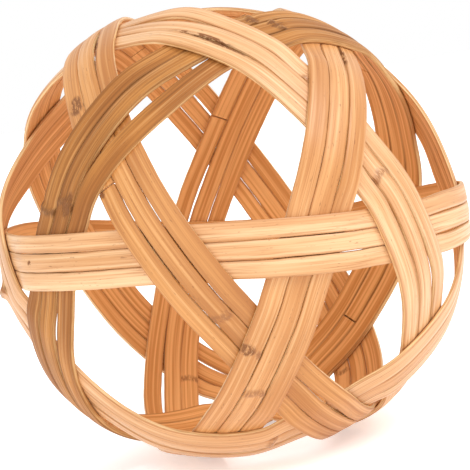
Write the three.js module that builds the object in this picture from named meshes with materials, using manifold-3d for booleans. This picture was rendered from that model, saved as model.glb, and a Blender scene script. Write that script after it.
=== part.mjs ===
// A decorative ball woven from split bamboo: six hoops of three flat strips each, laid near the great
// circles of an icosidodecahedron, so that every hoop passes alternately over and under the other five.
import * as THREE from 'three';
import { mergeVertices } from 'three/addons/utils/BufferGeometryUtils.js';
import Module from 'manifold-3d';

const wasm = await Module();
wasm.setup();

// ---- driving dimensions, millimetres ----
const ballDiameter = 118;        // over the strips that ride on top, before it went out of round
const stripThickness = 1.0;      // split bamboo with one planed face
const crossingClearance = 0.45;  // free space between two strips where they cross
const stripGap = 0.35;           // seam between neighbouring strips of one hoop
const endGap = 0.6;              // between the two ends of a strip, which butt under a crossing
const edgeMargin = 0.3;          // how far a crossing's level stretch runs past the strip it crosses
const longestStep = 7.0;         // longest straight facet along a strip
const flatDepth = 0.65;          // how much the resting plane takes off the lowest strips
const weaveHand = 1;             // which of the two mirror-image weaves

// The ball is a little out of round: how far its wall stands out, or in, on the side each compass bearing
// (degrees from the front, -Y, towards +X) and height (degrees above level) points to.
const bulges = [
  { bearing: 90, height: 0, amount: 3.5 },
  { bearing: 90, height: 45, amount: -2 },
  { bearing: 90, height: -45, amount: 2 },
  { bearing: -90, height: 0, amount: -1 },
  { bearing: -90, height: 45, amount: 1 },
  { bearing: -90, height: -45, amount: 2 },
  { bearing: 0, height: 90, amount: 2 },
  { bearing: 180, height: -65, amount: -1.5 },
];
const bulgeReach = THREE.MathUtils.degToRad(32);

// ---- sizes that follow ----
const weaveRise = (stripThickness + crossingClearance) / 2;
const ballRadius = ballDiameter / 2 - weaveRise - stripThickness / 2;
const fullTurn = 2 * Math.PI;
const upright = new THREE.Vector3(0, 0, 1);

// Each hoop lies near a great circle. `lowSide` is the compass direction of its lowest point, in degrees
// from the front (-Y) towards +X, and `lean` is how far its axis leans from upright, in degrees. `shift`
// moves the hoop off the great circle along its axis. `twoWave` and `threeWave` are the [cosine, sine]
// sizes of its sideways wander, with two and with three waves to the turn, as a hand-woven hoop has.
const hoops = [
  {
    name: 'girdle', lowSide: 130, lean: 6.5, shift: -2.5, stripWidth: 4.1,
    twoWave: [0, 2], threeWave: [1, 0.5],
  },
  {
    name: 'hoop_right', lowSide: 77, lean: 65, shift: 1.5, stripWidth: 4.6,
    twoWave: [-0.5, 0], threeWave: [0, -1],
  },
  {
    name: 'hoop_left', lowSide: -77, lean: 63.5, shift: -5.5, stripWidth: 4.7,
    twoWave: [0, 0], threeWave: [0, -0.5],
  },
  {
    name: 'hoop_back_right', lowSide: 136.5, lean: 68, shift: -1.5, stripWidth: 4.7,
    twoWave: [-0.5, -1.5], threeWave: [0.5, 0],
  },
  {
    name: 'hoop_back_left', lowSide: -143.5, lean: 63.5, shift: -4.5, stripWidth: 4.9,
    twoWave: [1, -1], threeWave: [-1, 1],
  },
  {
    name: 'hoop_front', lowSide: 3, lean: 60.5, shift: 4, stripWidth: 4.9,
    twoWave: [-0.5, 4], threeWave: [-5.5, -2],
  },
];
const stripPlaces = [
  { name: 'lower', place: -1 },
  { name: 'middle', place: 0 },
  { name: 'upper', place: 1 },
];

// Unit direction at an angle down from upright, both angles in degrees.
function directionTo(bearing, downFromTop) {
  const down = THREE.MathUtils.degToRad(downFromTop);
  const direction = new THREE.Vector3().setFromSphericalCoords(1, down, THREE.MathUtils.degToRad(bearing));
  return direction.set(direction.x, -direction.z, direction.y);
}

for (const bulge of bulges) bulge.direction = directionTo(bulge.bearing, 90 - bulge.height);
for (const hoop of hoops) {
  hoop.axis = directionTo(hoop.lowSide, hoop.lean);
  hoop.level = new THREE.Vector3().crossVectors(upright, hoop.axis).normalize();
  hoop.rising = new THREE.Vector3().crossVectors(hoop.axis, hoop.level);
  hoop.pitch = hoop.stripWidth + stripGap;
  hoop.halfWidth = hoop.pitch + hoop.stripWidth / 2;
}

// How far the wall stands out of round at a point.
function outOfRound(point) {
  const weight = ({ direction }) => Math.exp(-((point.angleTo(direction) / bulgeReach) ** 2) / 2);
  return bulges.reduce((sum, bulge) => sum + bulge.amount * weight(bulge), 0);
}

// Sideways place of a hoop's middle line at a turn angle about its axis.
function wander(hoop, turn) {
  const [cos2, sin2] = hoop.twoWave;
  const [cos3, sin3] = hoop.threeWave;
  return hoop.shift + cos2 * Math.cos(2 * turn) + sin2 * Math.sin(2 * turn)
    + cos3 * Math.cos(3 * turn) + sin3 * Math.sin(3 * turn);
}

// Outward and crosswise unit directions on the ball, at a turn angle and beside the hoop's middle line.
function directionsAt(hoop, turn, beside) {
  const tilt = (wander(hoop, turn) + beside) / ballRadius;
  const spoke = hoop.level.clone().multiplyScalar(Math.cos(turn));
  spoke.addScaledVector(hoop.rising, Math.sin(turn));
  return {
    outward: spoke.clone().multiplyScalar(Math.cos(tilt)).addScaledVector(hoop.axis, Math.sin(tilt)),
    across: spoke.multiplyScalar(-Math.sin(tilt)).addScaledVector(hoop.axis, Math.cos(tilt)),
  };
}

// Distance from a point of one strip to where the other hoop stops covering it; negative inside a crossing.
function distanceFromCrossing(hoop, other, turn, beside) {
  const { outward, across } = directionsAt(hoop, turn, beside);
  const otherTurn = Math.atan2(outward.dot(other.rising), outward.dot(other.level));
  const offLine = Math.abs(ballRadius * Math.asin(outward.dot(other.axis)) - wander(other, otherTurn));
  const ownReach = Math.abs(across.dot(other.axis)) * hoop.stripWidth / 2;
  return offLine - (other.halfWidth + ownReach + edgeMargin);
}

// The alternating weave in one rule: +1 where the hoop rides over the other one, -1 where it dips under.
function overOrUnder(hoop, other, outward) {
  const between = new THREE.Vector3().crossVectors(hoop.axis, other.axis);
  return weaveHand * Math.sign(hoop.axis.dot(other.axis) * outward.dot(between));
}

// All crossings along a strip, in order: the turn angles where each begins and ends, and its side.
function crossingsAlong(hoop, beside) {
  const scanStep = fullTurn / 1440;
  const crossings = [];
  for (const other of hoops) {
    if (other === hoop) continue;
    const gap = (turn) => distanceFromCrossing(hoop, other, turn, beside);
    let start = 0;
    while (gap(start) < 0) start -= scanStep;
    let entry = null;
    for (let turn = start; turn < start + fullTurn; turn += scanStep) {
      const here = gap(turn);
      const next = gap(turn + scanStep);
      if (here >= 0 && next < 0) entry = turn + scanStep * here / (here - next);
      if (here < 0 && next >= 0) {
        const exit = turn + scanStep * here / (here - next);
        const { outward } = directionsAt(hoop, (entry + exit) / 2, beside);
        crossings.push({ entry, exit, side: overOrUnder(hoop, other, outward) });
      }
    }
  }
  return crossings.sort((a, b) => a.entry - b.entry);
}

// Even steps from one turn angle to another, the last one left to the stretch that follows.
function evenTurns(from, to) {
  const count = Math.ceil(Math.abs(to - from) * ballRadius / longestStep);
  return Array.from({ length: count }, (_, i) => from + (to - from) * i / count);
}

// Turn angle and rise above the ball's mean surface at every section of a strip, from its first end to its
// last: level through each crossing, and an easy slope from one crossing to the next.
function stationsAlong(hoop, beside, firstCrossing) {
  const found = crossingsAlong(hoop, beside);
  const under = found.filter((crossing) => crossing.side < 0);
  const home = found.indexOf(under[firstCrossing % under.length]);
  const ordered = found.map((_, i) => {
    const crossing = found[(home + i) % found.length];
    const lap = home + i >= found.length ? fullTurn : 0;
    return { entry: crossing.entry + lap, exit: crossing.exit + lap, side: crossing.side };
  });
  const halfEndGap = endGap / 2 / ballRadius;
  const seam = (ordered[0].entry + ordered[0].exit) / 2;
  const last = { ...ordered[0], entry: ordered[0].entry + fullTurn, exit: seam + fullTurn - halfEndGap };
  ordered[0].entry = seam + halfEndGap;
  const run = [...ordered, last];
  const stations = [];
  run.forEach((crossing, i) => {
    for (const turn of evenTurns(crossing.entry, crossing.exit)) {
      stations.push({ turn, rise: crossing.side * weaveRise });
    }
    const next = run[i + 1];
    if (!next) {
      stations.push({ turn: crossing.exit, rise: crossing.side * weaveRise });
      return;
    }
    for (const turn of evenTurns(crossing.exit, next.entry)) {
      const ease = THREE.MathUtils.smoothstep(turn, crossing.exit, next.entry);
      stations.push({ turn, rise: weaveRise * THREE.MathUtils.lerp(crossing.side, next.side, ease) });
    }
  });
  return stations;
}

// A flat strip with square edges, swept through its stations and closed at both ends.
function stripGeometry(hoop, place, firstCrossing) {
  const beside = place * hoop.pitch;
  const half = hoop.stripWidth / 2;
  const corners = [[-half, -0.5], [half, -0.5], [half, 0.5], [-half, 0.5]];
  const positions = [];
  const stations = stationsAlong(hoop, beside, firstCrossing);
  for (const { turn, rise } of stations) {
    const { outward, across } = directionsAt(hoop, turn, beside);
    for (const [aside, layer] of corners) {
      const point = outward.clone().multiplyScalar(ballRadius + rise + layer * stripThickness);
      point.addScaledVector(across, aside);
      point.setLength(point.length() + outOfRound(point));
      positions.push(point.x, point.y, point.z);
    }
  }
  const faces = [];
  const sides = corners.length;
  for (let i = 0; i + 1 < stations.length; i += 1) {
    for (let j = 0; j < sides; j += 1) {
      const a = i * sides + j;
      const b = i * sides + (j + 1) % sides;
      faces.push(a, b, b + sides, a, b + sides, a + sides);
    }
  }
  const end = (stations.length - 1) * sides;
  faces.push(0, 2, 1, 0, 3, 2);
  faces.push(end, end + 1, end + 2, end, end + 2, end + 3);
  const geometry = new THREE.BufferGeometry();
  geometry.setAttribute('position', new THREE.Float32BufferAttribute(positions, 3));
  geometry.setIndex(faces);
  return geometry;
}

function toSolid(geometry) {
  const bare = geometry.clone();
  bare.deleteAttribute('normal');
  bare.deleteAttribute('uv');
  const merged = mergeVertices(bare, 1e-4);
  return new wasm.Manifold(new wasm.Mesh({
    numProp: 3,
    vertProperties: new Float32Array(merged.attributes.position.array),
    triVerts: new Uint32Array(merged.index.array),
  }));
}

function fromSolid(solid) {
  const mesh = solid.getMesh();
  const geometry = new THREE.BufferGeometry();
  geometry.setAttribute('position', new THREE.Float32BufferAttribute(mesh.vertProperties, 3));
  geometry.setIndex(Array.from(mesh.triVerts));
  return geometry;
}

// Puts the middle of the ball's box over the origin, with the resting plane at the origin's height.
function settle(geometries) {
  const box = new THREE.Box3();
  for (const geometry of geometries) {
    geometry.computeBoundingBox();
    box.union(geometry.boundingBox);
  }
  const middle = box.getCenter(new THREE.Vector3());
  for (const geometry of geometries) {
    geometry.translate(-middle.x, -middle.y, -box.min.z - flatDepth);
  }
}

// The resting plane planes small flats on the strips that reach below it.
function planeFlats(geometry) {
  geometry.computeBoundingBox();
  if (geometry.boundingBox.min.z >= 0) return geometry;
  const below = new THREE.BoxGeometry(2 * ballDiameter, 2 * ballDiameter, ballDiameter);
  below.translate(0, 0, -ballDiameter / 2);
  return fromSolid(toSolid(geometry).subtract(toSolid(below)));
}

const bamboo = { color: 0xe3b078, roughness: 0.5, metalness: 0 };
const names = [];
const geometries = [];
hoops.forEach((hoop, i) => {
  stripPlaces.forEach(({ name, place }, j) => {
    names.push(`${hoop.name}_${name}`);
    geometries.push(stripGeometry(hoop, place, i + 2 * j));
  });
});
settle(geometries);

const group = new THREE.Group();
geometries.forEach((geometry, i) => {
  const planed = planeFlats(geometry);
  planed.computeVertexNormals();
  const strip = new THREE.Mesh(planed, new THREE.MeshStandardMaterial(bamboo));
  strip.name = names[i];
  group.add(strip);
});

export default group;
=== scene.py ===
# A decorative ball woven from split bamboo. Every strip starts as a flat length of split bamboo, which is
# modelled once, and is then bent round the ball over and under the others.
import math

import bpy
import numpy as np
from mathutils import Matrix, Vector


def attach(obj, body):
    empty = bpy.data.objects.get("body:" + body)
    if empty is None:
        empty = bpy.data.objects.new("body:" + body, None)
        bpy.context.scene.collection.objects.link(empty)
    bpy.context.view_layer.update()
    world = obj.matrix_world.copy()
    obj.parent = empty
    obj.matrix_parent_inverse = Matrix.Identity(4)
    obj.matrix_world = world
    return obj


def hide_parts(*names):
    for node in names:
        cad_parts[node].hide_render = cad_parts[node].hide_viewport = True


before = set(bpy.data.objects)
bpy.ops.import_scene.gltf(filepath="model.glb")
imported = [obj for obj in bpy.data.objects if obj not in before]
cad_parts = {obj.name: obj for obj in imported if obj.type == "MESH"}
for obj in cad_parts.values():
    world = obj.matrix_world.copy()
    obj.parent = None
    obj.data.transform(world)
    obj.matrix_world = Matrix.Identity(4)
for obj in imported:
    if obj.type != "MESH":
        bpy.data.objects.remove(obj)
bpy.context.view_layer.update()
mm = 0.001

# the ball, in millimetres and degrees, as the solids are
ball = {
    "centre": (-1.785, 0.077, 57.171),   # of the round it was woven on, over the resting plane
    "radius": 57.775,                    # middle of the woven wall
    "rise": 0.725,                       # how far a strip goes over or under the wall's middle
    "stripGap": 0.35,
    "tighter": 0.24,                     # real strips swell until they nearly touch
    "edgeMargin": 0.3,                   # a crossing's level stretch runs this far past the strip it crosses
    "endGap": 0.4,                       # between the two ends of a strip
    "softness": 2.2,                     # degrees over which stiff bamboo rounds off its slopes
    "softTo": 6,                         # degrees past which that rounding is too small to count
    "dipDepth": 0.97,                    # share of the full rise from which a strip counts as tucked under
    "dipReach": 14,                      # degrees from any turn in a dip that take in all of it and no other
    "weaveHand": 1,                      # which of the two mirror-image weaves
    "bulgeReach": 32,                    # degrees
    # bearing from the front towards the right, height above level, how far the wall stands out there
    "bulges": (
        (90, 0, 3.5), (90, 45, -2), (90, -45, 2), (-90, 0, -1),
        (-90, 45, 1), (-90, -45, 2), (0, 90, 2), (180, -65, -1.5),
    ),
}

# how the six hoops lie: lowest side, lean of the axis, shift along it, and two and three waves to the turn
hoops = {
    "girdle": {
        "lowSide": 130, "lean": 6.5, "shift": -2.5, "width": 4.1, "two": (0, 2), "three": (1, 0.5),
    },
    "hoop_right": {
        "lowSide": 77, "lean": 65, "shift": 1.5, "width": 4.6, "two": (-0.5, 0), "three": (0, -1),
    },
    "hoop_left": {
        "lowSide": -77, "lean": 63.5, "shift": -5.5, "width": 4.7, "two": (0, 0), "three": (0, -0.5),
    },
    "hoop_back_right": {
        "lowSide": 136.5, "lean": 68, "shift": -1.5, "width": 4.7, "two": (-0.5, -1.5), "three": (0.5, 0),
    },
    "hoop_back_left": {
        "lowSide": -143.5, "lean": 63.5, "shift": -4.5, "width": 4.9, "two": (1, -1), "three": (-1, 1),
    },
    "hoop_front": {
        "lowSide": 3, "lean": 60.5, "shift": 4, "width": 4.9, "two": (-0.5, 4), "three": (-5.5, -2),
    },
}
places = {"lower": -1, "middle": 0, "upper": 1}


def directionTo(bearing, downFromTop):
    side, down = math.radians(bearing), math.radians(downFromTop)
    return np.array([math.sin(down) * math.sin(side), -math.sin(down) * math.cos(side), math.cos(down)])


for hoop in hoops.values():
    hoop["axis"] = directionTo(hoop["lowSide"], hoop["lean"])
    level = np.cross((0, 0, 1), hoop["axis"])
    hoop["level"] = level / np.linalg.norm(level)
    hoop["rising"] = np.cross(hoop["axis"], hoop["level"])
    hoop["pitch"] = hoop["width"] + ball["stripGap"]


# how far a hoop's middle line lies beside its great circle at a turn about its axis
def wander(hoop, turn):
    (cos2, sin2), (cos3, sin3) = hoop["two"], hoop["three"]
    return (hoop["shift"] + cos2 * np.cos(2 * turn) + sin2 * np.sin(2 * turn)
            + cos3 * np.cos(3 * turn) + sin3 * np.sin(3 * turn))


# outward and crosswise directions on the ball, at a turn and beside the hoop's middle line
def directionsAt(hoop, turn, beside):
    tilt = ((wander(hoop, turn) + beside) / ball["radius"])[:, None]
    spoke = np.cos(turn)[:, None] * hoop["level"] + np.sin(turn)[:, None] * hoop["rising"]
    return (np.cos(tilt) * spoke + np.sin(tilt) * hoop["axis"],
            np.cos(tilt) * hoop["axis"] - np.sin(tilt) * spoke)


def outOfRound(directions):
    total = np.zeros(len(directions))
    for bearing, height, amount in ball["bulges"]:
        angle = np.degrees(np.arccos(np.clip(directions @ directionTo(bearing, 90 - height), -1, 1)))
        total += amount * np.exp(-((angle / ball["bulgeReach"]) ** 2) / 2)
    return total


stepsPerDegree = 4
scanSteps = 360 * stepsPerDegree


# degrees from one turn to others, the short way round
def apartBy(turns, fromTurn):
    return (turns - fromTurn + 180) % 360 - 180


# how high a strip rides at every step of the turn: +rise over a hoop, -rise under it, eased in between
def riseAlong(hoop, beside):
    turns = np.radians(np.arange(scanSteps) / stepsPerDegree)
    outward, across = directionsAt(hoop, turns, np.full(scanSteps, float(beside)))
    rise = np.full(scanSteps, np.nan)
    for other in hoops.values():
        if other is hoop:
            continue
        otherTurn = np.arctan2(outward @ other["rising"], outward @ other["level"])
        offLine = np.abs(ball["radius"] * np.arcsin(outward @ other["axis"]) - wander(other, otherTurn))
        reach = 1.5 * other["width"] + ball["stripGap"] + np.abs(across @ other["axis"]) * hoop["width"] / 2
        between = np.cross(hoop["axis"], other["axis"])
        side = ball["weaveHand"] * np.sign((hoop["axis"] @ other["axis"]) * (outward @ between))
        covered = offLine < reach + ball["edgeMargin"]
        rise[covered] = side[covered] * ball["rise"]
    known = np.flatnonzero(~np.isnan(rise))
    for start, end in zip(known, np.roll(known, -1)):
        gap = (end - start) % scanSteps
        step = np.arange(1, gap)
        ease = step / gap
        ease = ease * ease * (3 - 2 * ease)
        rise[(start + step) % scanSteps] = rise[start] * (1 - ease) + rise[end] * ease
    nearby = np.arange(-ball["softTo"] * stepsPerDegree, ball["softTo"] * stepsPerDegree + 1)
    weight = np.exp(-((nearby / stepsPerDegree / ball["softness"]) ** 2))
    return sum(w * np.roll(rise, -k) for w, k in zip(weight, nearby)) / weight.sum()


# sum of smooth local changes (turn in degrees, amount, reach in degrees) along a strip
def along(changes, turn):
    total = np.zeros(len(turn))
    for at, amount, reach in changes:
        total += amount * np.exp(-((apartBy(np.degrees(turn), at) / reach) ** 2))
    return total


# turn in the middle of the dip under another hoop that is nearest to the wanted turn
def tuckedEnd(rises, wanted):
    under = np.flatnonzero(rises < -ball["dipDepth"] * ball["rise"]) / stepsPerDegree
    nearest = under[np.abs(apartBy(under, wanted)).argmin()]
    apart = apartBy(under, nearest)
    return nearest + apart[np.abs(apart) < ball["dipReach"]].mean()


# the flat length of split bamboo that every strip starts from: skin side up, edges eased by the knife
blank = {
    "length": 364.0,
    "width": 4.7,
    "thickness": 1.1,
    "easedEdge": 0.22,
    "lengthwise": 520,
    "crosswise": 7,
    "smoothBelow": 35,
}


def modelBlank():
    bpy.ops.object.select_all(action="DESELECT")
    bpy.ops.mesh.primitive_grid_add(x_subdivisions=blank["lengthwise"], y_subdivisions=blank["crosswise"],
                                    size=1)
    strip = bpy.context.active_object
    strip.name = "strip_blank"
    bpy.ops.object.mode_set(mode="EDIT")
    bpy.ops.mesh.select_all(action="SELECT")
    bpy.ops.transform.resize(value=(blank["length"] * mm, blank["width"] * mm, 1))
    bpy.ops.object.mode_set(mode="OBJECT")
    wall = strip.modifiers.new("Split thickness", "SOLIDIFY")
    wall.thickness = blank["thickness"] * mm
    wall.offset = 0
    bpy.ops.object.modifier_apply(modifier=wall.name)
    knife = strip.modifiers.new("Eased edges", "BEVEL")
    knife.width = blank["easedEdge"] * mm
    knife.segments = 2
    knife.limit_method = "ANGLE"
    bpy.ops.object.modifier_apply(modifier=knife.name)
    print("blank strip:", len(strip.data.vertices), "vertices")
    return strip


# how a strip is shaped by growth and by the knife, in millimetres
handwork = {
    "crown": 0.16, "innerCrown": 0.056,
    # waves in the width: size, run of a wave, and what the seed and the side add to its phase
    "unevenWidth": ((0.07, 17.0, 1, 0), (0.05, 6.1, 2, 0)),
    "nibbledEdge": ((0.035, 1.9, 5, 1), (0.03, 0.83, 1, 0)),
    "knotRidge": 0.34, "knotInnerRidge": 0.1, "knotRidgeReach": 0.75, "knotSlant": 0.5,
    "knotGroove": 0.12, "knotGrooveBeside": 1.6, "knotGrooveReach": 0.7, "knotStainReach": 1.6,
    "grainApart": (400.0, 400.0 / 7),    # how far along and across the grain the next strip was cut
}


def waves(sizes, runs, seed, side):
    return sum(size * np.sin(runs / run + seed * bySeed + side * bySide)
               for size, run, bySeed, bySide in sizes)


# Bends a copy of the blank round the ball. `look` may hold
#   seed: which stretch of grain            end, shownEnd: turn where its ends meet, tucked in or in sight
#   thickness: times the blank's            sideways, outward, thicker, tilt: local changes
#   knots: turns of the bamboo's nodes      scars: torn patches, as turn, beside, reach along and across
def weaveStrip(blankStrip, hoopName, place, look):
    hoop = hoops[hoopName]
    strip = blankStrip.copy()
    strip.data = blankStrip.data.copy()
    strip.name = hoopName + "_strip_" + place
    bpy.context.collection.objects.link(strip)

    count = len(strip.data.vertices)
    flat = np.empty(count * 3, np.float32)
    strip.data.vertices.foreach_get("co", flat)
    flat = flat.reshape(-1, 3).astype(float) / mm
    share = flat[:, 0] / blank["length"] + 0.5
    aside = flat[:, 1] / blank["width"]
    layer = flat[:, 2]
    onSkin = layer > 0

    middle = places[place] * hoop["pitch"]
    rises = riseAlong(hoop, middle)
    end = look["shownEnd"] if "shownEnd" in look else tuckedEnd(rises, look["end"])
    turn = math.radians(end) + share * (2 * math.pi - ball["endGap"] / ball["radius"])
    turnDegrees = np.degrees(turn)
    runs = share * blank["length"]
    seed = look["seed"]
    width = hoop["width"] + ball["tighter"] + waves(handwork["unevenWidth"], runs, seed, 0)
    width += waves(handwork["nibbledEdge"], runs, seed, np.sign(aside)) * (np.abs(aside) * 2) ** 4
    thickness = look.get("thickness", 1.0) + along(look.get("thicker", ()), turn)
    beside = middle + along(look.get("sideways", ()), turn)
    scanned = np.arange(scanSteps + 1)
    rise = np.interp(turnDegrees * stepsPerDegree % scanSteps, scanned, np.append(rises, rises[0]))
    rise = rise + along(look.get("outward", ()), turn)

    knot = np.zeros(count)
    for at in look.get("knots", ()):
        off = apartBy(turnDegrees, at) * math.radians(ball["radius"])
        slant = off - handwork["knotSlant"] * np.sin(aside * 5 + at)
        knot = np.maximum(knot, np.exp(-((slant / handwork["knotStainReach"]) ** 2)))
        ridge = np.where(onSkin, handwork["knotRidge"], handwork["knotInnerRidge"])
        layer = layer + ridge * np.exp(-((slant / handwork["knotRidgeReach"]) ** 2))
        groove = (slant - handwork["knotGrooveBeside"]) / handwork["knotGrooveReach"]
        layer = layer - np.where(onSkin, handwork["knotGroove"], 0) * np.exp(-(groove ** 2))
    scar = np.zeros(count)
    for at, across, reachAlong, reachAcross in look.get("scars", ()):
        off = apartBy(turnDegrees, at) / reachAlong
        scar = np.maximum(scar, np.exp(-(off ** 2) - ((aside - across) / reachAcross) ** 2))

    crown = np.where(layer > 0, handwork["crown"], handwork["innerCrown"]) * (1 - (2 * aside) ** 2)
    height = layer * thickness + crown
    lean = np.radians(along(look.get("tilt", ()), turn))
    y = aside * width
    outward, across = directionsAt(hoop, turn, beside)
    points = outward * (ball["radius"] + rise + height * np.cos(lean) + y * np.sin(lean))[:, None]
    points += across * (y * np.cos(lean) - height * np.sin(lean))[:, None]
    reachOut = np.linalg.norm(points, axis=1, keepdims=True)
    points *= 1 + outOfRound(points / reachOut)[:, None] / reachOut
    points += ball["centre"]
    points[:, 2] = np.maximum(points[:, 2], 0)
    strip.data.vertices.foreach_set("co", (points * mm).astype(np.float32).ravel())

    apart, apartAcross = handwork["grainApart"]
    grain = np.stack([runs + apart * seed, y + apartAcross * seed, layer], 1)
    depth = 0.5 - layer / blank["thickness"]
    marks = np.stack([knot, scar, depth], 1)
    for name, values in (("grain", grain), ("marks", marks)):
        attribute = strip.data.attributes.new(name, "FLOAT_VECTOR", "POINT")
        attribute.data.foreach_set("vector", values.astype(np.float32).ravel())
    # closeness to the strip's long edges, where the material paints shade of the seams between strips
    rim = strip.data.attributes.new("rim", "FLOAT", "POINT")
    rim.data.foreach_set("value", (2 * np.abs(aside)).astype(np.float32))
    strip.data.update()
    bpy.ops.object.select_all(action="DESELECT")
    strip.select_set(True)
    bpy.context.view_layer.objects.active = strip
    bpy.ops.object.shade_smooth_by_angle(angle=math.radians(blank["smoothBelow"]))
    return strip


def finishStrip(strip, node, material):
    strip.data.materials.clear()
    strip.data.materials.append(material)
    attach(strip, "root")
    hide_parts(node)


# sRGB hex to the linear colour that a socket takes
def linear(hexColour):
    channels = [int(hexColour[i:i + 2], 16) / 255 for i in (1, 3, 5)]
    return tuple(c / 12.92 if c <= 0.04045 else ((c + 0.055) / 1.055) ** 2.4 for c in channels) + (1.0,)


# adds a node with its settings, and feeds its sockets with values or with other nodes' outputs
def add(tree, kind, settings, inputs):
    node = tree.nodes.new(kind)
    for name, value in settings.items():
        setattr(node, name, value)
    for socket, value in inputs.items():
        if isinstance(value, bpy.types.NodeSocket):
            tree.links.new(value, node.inputs[socket])
        else:
            node.inputs[socket].default_value = value
    return node


# Split bamboo: long straight fibre bundles under a smooth silica skin, dried to a warm straw colour. The eye
# gets fine lengthwise lines, slow drifts of tone along a strip, a soft sheen on the skin side, painted shade
# along the strips' edges where they meet, a duller inner side whose own colour is pushed to a more saturated
# orange with darker streaks as painted shade of the ball's inside, and pale fibrous cut edges.
def splitBamboo(name, look):
    material = bpy.data.materials.new(name)
    material.use_nodes = True
    tree = material.node_tree
    tree.nodes.clear()
    read = {}
    for attribute, output in (("grain", "Vector"), ("marks", "Vector"), ("rim", "Fac")):
        reader = add(tree, "ShaderNodeAttribute", {"attribute_name": attribute}, {})
        read[attribute] = reader.outputs[output]
    marks = add(tree, "ShaderNodeSeparateXYZ", {}, {"Vector": read["marks"]}).outputs
    amounts = {"rim": read["rim"], "knot": marks["X"], "scar": marks["Y"], "depth": marks["Z"]}

    # noise drawn out along the strip: how long and how wide its marks are in millimetres, detail, roughness
    patterns = {
        "drift": (look["driftMm"], 9.0, 2.0, 0.5),
        "oneStrip": (260.0, 260.0, 0.0, 0.5),
        "streak": (look["streakLongMm"], look["streakMm"], 3.0, 0.5),
        "fibre": (look["fibreLongMm"], look["fibreMm"], 2.0, 0.6),  # real ones are finer than would show
        "pore": (1.6, 0.34, 1.0, 0.5),
        "blotch": (3.0, 0.8, 3.0, 0.7),
    }
    for pattern, (longMm, wideMm, detail, roughness) in patterns.items():
        stretched = add(tree, "ShaderNodeVectorMath", {"operation": "MULTIPLY"},
                        {0: read["grain"], 1: (1 / longMm, 1 / wideMm, 1 / wideMm)})
        noise = add(tree, "ShaderNodeTexNoise", {}, {"Vector": stretched.outputs[0], "Scale": 1.0,
                                                     "Detail": detail, "Roughness": roughness})
        amounts[pattern] = noise.outputs["Fac"]

    # what each mask reads, the two values it runs between, and what it gives there
    masks = {
        "toStraw": ("drift", 0.32, 0.68, 0, 1),
        "darkStrip": ("oneStrip", 0.42, 0.60, 0, look["oneDarker"]),
        "darkStreak": ("streak", 0.48, 0.72, 0, look["streakStrength"]),
        "lightStreak": ("streak", 0.52, 0.30, 0, look["paleStrength"]),
        "fibres": ("fibre", 0.50, 0.70, 0, look["fibreStrength"]),
        "pores": ("pore", 0.70, 0.78, 0, look["poreStrength"]),
        # inner faces: their own colour pushed to a more saturated orange with darker streaks, as painted
        # shade of the ball's inside; they are duller too
        "inside": ("depth", 0.62, 0.90, 0, 1),
        "darkInside": ("streak", 0.35, 0.65, 0, 1),
        # painted shade along both long edges of every strip, where strips meet, broken up by the streaks
        "seamShadeBand": ("rim", 0.72, 0.97, 0, look["seamShadeStrength"]),
        "seamShadeBreaks": ("streak", 0.25, 0.55, 0.4, 1),
        "belowSkin": ("depth", 0.12, 0.30, 0, look["edgeStrength"]),
        "aboveInside": ("depth", 0.92, 0.72, 0, 1),
        "edgeFibres": ("fibre", 0.42, 0.62, 0, 1),
        "knotBand": ("knot", 0.35, 0.98, 0, look["knotStrength"]),
        "knotBreaks": ("blotch", 0.40, 0.56, 0.15, 1),
        "scarPatch": ("scar", 0.30, 0.62, 0, 1),
        "scarBreaks": ("blotch", 0.44, 0.54, 0.05, 1),
        "sheen": ("streak", 0.3, 0.7, look["roughness"] - 0.06, look["roughness"] + 0.08),
    }
    for mask, (amount, low, high, atLow, atHigh) in masks.items():
        ramp = add(tree, "ShaderNodeMapRange", {"interpolation_type": "SMOOTHSTEP"},
                   {"Value": amounts[amount], 1: low, 2: high, 3: atLow, 4: atHigh})
        amounts[mask] = ramp.outputs["Result"]
    products = {
        # painted shade of the seams between strips
        "seamShade": ("seamShadeBand", "seamShadeBreaks"),
        "edgeTone": ("belowSkin", "aboveInside"),
        "knotTone": ("knotBand", "knotBreaks"),
        "scarTone": ("scarPatch", "scarBreaks"),
        "scarDepth": ("scarTone", "blotch"),
    }
    for product, (first, second) in products.items():
        both = add(tree, "ShaderNodeMath", {"operation": "MULTIPLY"},
                   {0: amounts[first], 1: amounts[second]})
        amounts[product] = both.outputs[0]

    tones = {tone: linear(value) for tone, value in look.items() if isinstance(value, str)}
    blends = {
        "skin": ("toStraw", "darkStraw", "straw"),
        "innerSideShaded": ("darkInside", "innerPale", "innerDark"),
        "cutSide": ("edgeFibres", "cutEdge", "cutShade"),
    }
    for blend, (mask, first, second) in blends.items():
        mixer = add(tree, "ShaderNodeMix", {"data_type": "RGBA"},
                    {0: amounts[mask], 6: tones[first], 7: tones[second]})
        tones[blend] = mixer.outputs[2]
    layers = (
        ("darkStrip", "streak"), ("darkStreak", "streak"), ("lightStreak", "paleStreak"),
        # among these, the strip-edge layer is painted shade of the seams between strips
        ("fibres", "fibre"), ("pores", "pore"), ("inside", "innerSideShaded"), ("seamShade", "fibre"),
        ("edgeTone", "cutSide"), ("knotTone", "knot"), ("scarTone", "scar"),
    )
    colour = tones["skin"]
    for mask, tone in layers:
        mixer = add(tree, "ShaderNodeMix", {"data_type": "RGBA"},
                    {0: amounts[mask], 6: colour, 7: tones[tone]})
        colour = mixer.outputs[2]

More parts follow.
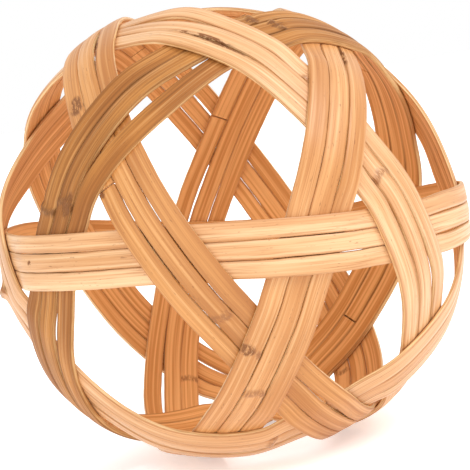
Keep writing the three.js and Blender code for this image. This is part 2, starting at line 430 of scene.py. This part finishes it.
    dull = add(tree, "ShaderNodeMath", {"operation": "MAXIMUM"},
               {0: amounts["inside"], 1: amounts["scarTone"]})
    rough = add(tree, "ShaderNodeMix", {},
                {0: dull.outputs[0], 2: amounts["sheen"], 3: look["dullRoughness"]})
    height = 0.0
    for amount, share in (("fibre", 0.55), ("streak", 0.8), ("scarDepth", -3.0)):
        layer = add(tree, "ShaderNodeMath", {"operation": "MULTIPLY_ADD"},
                    {0: amounts[amount], 1: share, 2: height})
        height = layer.outputs[0]
    bump = add(tree, "ShaderNodeBump", {}, {"Strength": look["bump"], "Distance": look["bumpMm"] * mm,
                                            "Height": height})
    shader = add(tree, "ShaderNodeBsdfPrincipled", {}, {
        "Base Color": colour, "Roughness": rough.outputs[0], "IOR": 1.5,
        "Specular IOR Level": look["specular"], "Normal": bump.outputs[0],
    })
    add(tree, "ShaderNodeOutputMaterial", {}, {"Surface": shader.outputs[0]})
    return material


# innerPale and innerDark hold the inner side's own colour pushed to a more saturated orange, as painted
# shade of the ball's inside
skinLook = {
    "straw": "#DBA168", "darkStraw": "#C4874C", "streak": "#AD6C34", "paleStreak": "#EBBC86",
    "fibre": "#A86A34", "pore": "#7A4A22", "innerPale": "#EAAE6C", "innerDark": "#C98745",
    "cutEdge": "#F0CE98", "cutShade": "#C08A50", "knot": "#8E562A", "scar": "#84522A",
    "driftMm": 46.0, "streakLongMm": 60.0, "streakMm": 0.8, "fibreLongMm": 16.0, "fibreMm": 0.3,
    "streakStrength": 0.55, "paleStrength": 0.45, "fibreStrength": 0.6, "poreStrength": 0.5,
    # the strength along the strips' edges sets how dark the painted shade of the seams is
    "knotStrength": 0.75, "oneDarker": 0.28, "seamShadeStrength": 0.5, "edgeStrength": 0.75,
    "roughness": 0.42, "dullRoughness": 0.8, "specular": 0.5, "bump": 0.55, "bumpMm": 0.12,
}
paleLook = dict(
    skinLook, straw="#E4B484", darkStraw="#D29E6A", streak="#BC7E46", paleStreak="#F2CFA2",
)
honeyLook = dict(
    skinLook, straw="#D49654", darkStraw="#B87838", streak="#9C5C28", paleStreak="#E4AE72",
)
# the back-left hoop, on the side away from the key lamp: its colours darker and browner as painted shade,
# and rougher and less glossy as the strips' matt inner side is turned out
innerShadedLook = dict(
    skinLook, straw="#C4843F", darkStraw="#9C5E24", streak="#7E4A1A", paleStreak="#D9A468",
    fibre="#74491F", knot="#6E4420", cutEdge="#E2B880", streakStrength=0.75,
    roughness=0.62, specular=0.35, bump=0.8,
)

# what each strip has of its own: knots where the bamboo's nodes were, places where it strays sideways from
# its neighbours, tilts about its length, old tears, and where its two ends are tucked in
girdleStrips = {
    "lower": {
        "seed": 1, "end": 330, "sideways": ((203, -0.5, 9), (60, -0.3, 14)), "tilt": ((120, 5, 40),),
    },
    "middle": {
        "seed": 2, "end": 250, "scars": ((86, 0, 0.9, 0.2),), "tilt": ((150, -3, 50),),
    },
    "upper": {
        "seed": 3, "end": 20, "sideways": ((203, 0.35, 8),), "tilt": ((170, -4, 40), (100, 3, 30)),
        "knots": (262,),
    },
}
rightStrips = {
    "lower": {
        "seed": 4, "shownEnd": 156.5, "scars": ((131, 0.1, 3.2, 0.5), (157, -0.4, 1.2, 0.3)),
        "sideways": ((178, -0.15, 20),), "tilt": ((190, 4, 25), (131, 5, 8)), "knots": (300,),
    },
    "middle": {
        "seed": 5, "end": 75, "sideways": ((113, -0.35, 9),), "knots": (196,),
        "tilt": ((200, 3, 30), (118, 5, 10)),
    },
    "upper": {
        "seed": 6, "end": 15, "sideways": ((112, 0.5, 9), (236, 0.9, 9), (37, 0.5, 14)),
        "scars": ((114, -0.5, 11, 0.13),), "outward": ((236, 0.5, 7),),
        "tilt": ((190, -3, 30), (232, 7, 10)),
    },
}
leftStrips = {
    "lower": {
        "seed": 7, "end": 15, "sideways": ((57, -0.55, 8), (300, -0.2, 20)), "knots": (231,),
        "tilt": ((40, 4, 30), (335, 4, 25)), "scars": ((57, 0.5, 5, 0.15),),
    },
    "middle": {
        "seed": 8, "end": 80, "knots": (323,), "sideways": ((237, -0.3, 14),),
        "tilt": ((30, -3, 30), (330, 3, 30)),
    },
    "upper": {
        "seed": 9, "end": 140, "knots": (334,), "scars": ((334, 0.3, 1.6, 0.5),),
        "sideways": ((59, 0.55, 8), (237, 0.5, 16), (170, 0.5, 12)), "tilt": ((30, -4, 40),),
    },
}
backRightStrips = {
    "lower": {
        "seed": 10, "end": 350, "sideways": ((178, -0.55, 14), (118, -0.4, 10)),
        "tilt": ((170, 5, 25), (115, -5, 14)), "scars": ((120, 0.46, 10, 0.13),),
    },
    "middle": {
        "seed": 11, "end": 20, "sideways": ((104, -0.7, 9),), "knots": (168,),
        "scars": ((114, -0.46, 9, 0.14),), "tilt": ((180, -3, 25),),
    },
    "upper": {
        "seed": 12, "end": 95, "sideways": ((103, 1.1, 8), (201, 0.8, 13), (308, 0.6, 12)),
        "outward": ((103, 0.5, 10),), "tilt": ((190, -6, 20), (110, 6, 20)), "knots": (140,),
    },
}
backLeftStrips = {
    "lower": {
        "seed": 13, "end": 255, "thickness": 1.25, "tilt": ((45, 7, 25), (0, -5, 30)),
        "sideways": ((52, -2.5, 17), (350, -1.0, 13), (112, -0.8, 7)), "outward": ((50, -0.4, 20),),
    },
    "middle": {
        "seed": 14, "end": 195, "thickness": 1.15, "knots": (21, 92), "tilt": ((50, -5, 25),),
        "scars": ((21, -0.2, 3.6, 0.35), (92, 0.1, 2.4, 0.3)),
    },
    "upper": {
        "seed": 15, "end": 135, "thickness": 1.15, "knots": (17, 88), "sideways": ((350, 0.3, 20),),
        "tilt": ((50, 6, 30), (90, -5, 12)), "scars": ((88, -0.2, 2.0, 0.3),),
    },
}
frontStrips = {
    "lower": {
        "seed": 16, "end": 75, "sideways": ((225, -0.5, 14), (262, -0.4, 10)), "knots": (188,),
        "thicker": ((188, 0.9, 1.6),), "outward": ((188, 0.5, 2.5),), "tilt": ((270, 5, 30),),
    },
    "middle": {
        "seed": 17, "end": 15, "knots": (270,), "thicker": ((271, 0.3, 3),), "tilt": ((225, 6, 15),),
    },
    "upper": {
        "seed": 18, "end": 310, "sideways": ((227, 0.8, 10), (180, 0.6, 16)), "tilt": ((270, -5, 40),),
        "outward": ((227, 0.4, 10),),
    },
}

blankStrip = modelBlank()
honey = splitBamboo("split bamboo, honey skin", honeyLook)
straw = splitBamboo("split bamboo, straw skin", skinLook)
pale = splitBamboo("split bamboo, pale skin", paleLook)
# the look for the back-left hoop, darkened as painted shade
innerSideShaded = splitBamboo("split bamboo, inner side out, painted shade", innerShadedLook)
weave = {
    "girdle": (girdleStrips, "bamboo_skin", pale),
    "hoop_right": (rightStrips, "bamboo_skin", honey),
    "hoop_left": (leftStrips, "bamboo_skin", straw),
    "hoop_back_right": (backRightStrips, "bamboo_skin", pale),
    "hoop_back_left": (backLeftStrips, "bamboo_inner", innerSideShaded),
    "hoop_front": (frontStrips, "bamboo_skin", pale),
}
for hoopName, (looks, slotName, material) in weave.items():
    for place, look in looks.items():
        strip = weaveStrip(blankStrip, hoopName, place, look)
        finishStrip(strip, f"{hoopName}_{place}", material)
    print("woven:", hoopName)
bpy.data.objects.remove(blankStrip)


# a pale table, lit so that the shadow under the ball stays faint, and soft lamps; the lamps' bearing and
# height say where they stand, as seen from the ball
studio = {
    "floorSize": 12.0,
    "floorColour": "#F2F2F2",
    "floorGlow": 0.4,
    "floorRoughness": 0.9,
    "floorSpecular": 0.1,
    "worldStrength": 1.0,
    "lamps": {
        "key": {"strength": 1.4, "bearing": 62, "height": 48, "spread": 25},
        "fill": {"strength": 0.55, "bearing": -25, "height": 28, "spread": 60},
    },
}


def placeLamp(name, lamp):
    sun = bpy.data.lights.new(name, "SUN")
    sun.energy = lamp["strength"]
    sun.angle = math.radians(lamp["spread"])
    holder = bpy.data.objects.new(name, sun)
    bpy.context.collection.objects.link(holder)
    direction = Vector(directionTo(lamp["bearing"], 90 - lamp["height"]))
    holder.rotation_euler = direction.to_track_quat("Z", "Y").to_euler()
    holder.location = direction * 0.6


def makeStudio():
    bpy.ops.object.select_all(action="DESELECT")
    bpy.ops.mesh.primitive_plane_add(size=studio["floorSize"])
    floor = bpy.context.active_object
    floor.name = "table_top"
    paint = bpy.data.materials.new("matt white table")
    paint.use_nodes = True
    sockets = paint.node_tree.nodes["Principled BSDF"].inputs
    sockets["Base Color"].default_value = linear(studio["floorColour"])
    sockets["Roughness"].default_value = studio["floorRoughness"]
    sockets["Specular IOR Level"].default_value = studio["floorSpecular"]
    sockets["Emission Color"].default_value = (1, 1, 1, 1)
    sockets["Emission Strength"].default_value = studio["floorGlow"]
    floor.data.materials.append(paint)
    world = bpy.data.worlds.new("soft white studio")
    world.use_nodes = True
    sockets = world.node_tree.nodes["Background"].inputs
    sockets["Strength"].default_value = studio["worldStrength"]
    sockets["Color"].default_value = (1, 1, 1, 1)
    bpy.context.scene.world = world
    for name, lamp in studio["lamps"].items():
        placeLamp(name, lamp)


# a long lens a little above the ball's middle, held a little crooked
shot = {
    "height": 5.6,                       # degrees above level
    "distance": 420.0,                   # from the ball's centre
    "crooked": 10.2,                     # degrees
    "lens": 123.2,
    "shift": (0.018, -0.0115),
}


def makeCamera():
    camera = bpy.data.objects.new("camera", bpy.data.cameras.new("camera"))
    bpy.context.collection.objects.link(camera)
    centre = Vector(ball["centre"]) * mm
    direction = Vector(directionTo(0, 90 - shot["height"]))
    camera.location = centre + direction * shot["distance"] * mm
    camera.rotation_euler = direction.to_track_quat("Z", "Y").to_euler()
    camera.rotation_euler.rotate_axis("Z", math.radians(-shot["crooked"]))
    camera.data.lens = shot["lens"]
    camera.data.sensor_width = 36
    camera.data.shift_x, camera.data.shift_y = shot["shift"]
    camera.data.clip_start = 0.01
    bpy.context.scene.camera = camera


makeStudio()
makeCamera()
bpy.context.scene.view_settings.view_transform = "Standard"
print("studio and camera ready")
